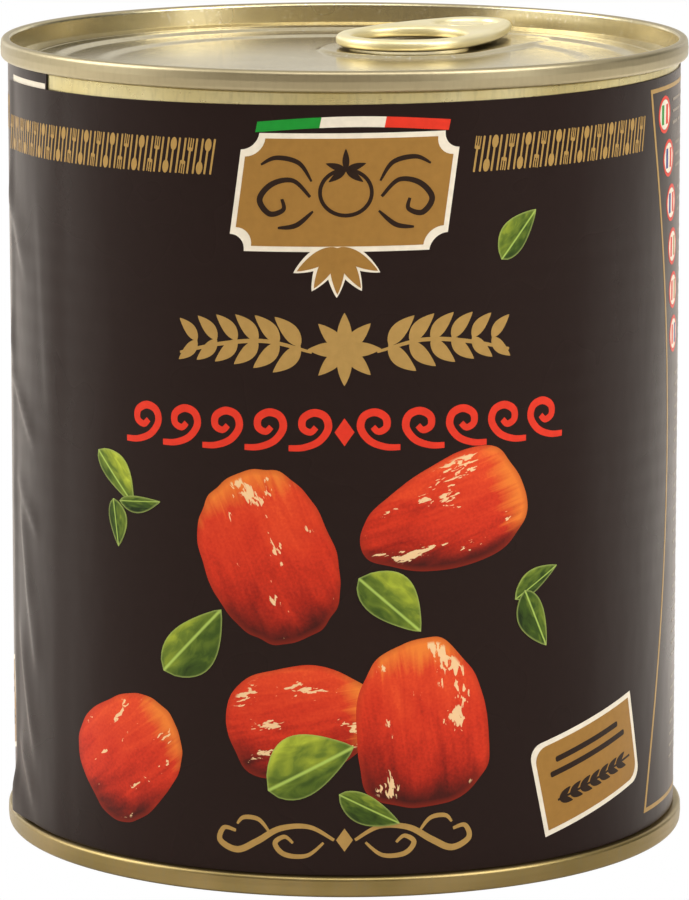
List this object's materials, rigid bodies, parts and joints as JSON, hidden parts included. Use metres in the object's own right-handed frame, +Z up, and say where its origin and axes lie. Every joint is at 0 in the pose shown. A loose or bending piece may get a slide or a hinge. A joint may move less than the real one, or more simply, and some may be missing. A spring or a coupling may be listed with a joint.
{
  "type": "food can with ring-pull lid",
  "caption": "Shut round tinplate food can with double seams, a stepped easy-open lid with a riveted pull tab, and a wrapped paper label with a printed food design.",
  "frame": {"origin": "centre of the bottom rim's standing face", "axes": "+Z up along the can's axis, -Y out of the front of the label"},
  "size_m": [0.1018, 0.1018, 0.1185],
  "materials": {
    "gold_tinplate": "gold food lacquer on tinplate, glossy",
    "tab_steel": "pale gold lacquer on steel, glossy",
    "label_paper": "thin coated paper printed near black, satin varnish"
  },
  "bodies": {
    "root": {"can_body": "gold_tinplate", "top_end": "gold_tinplate", "bottom_end": "gold_tinplate", "pull_tab": "tab_steel", "paper_label": "label_paper", "label_underlap": "label_paper"}
  },
  "joints": []
}
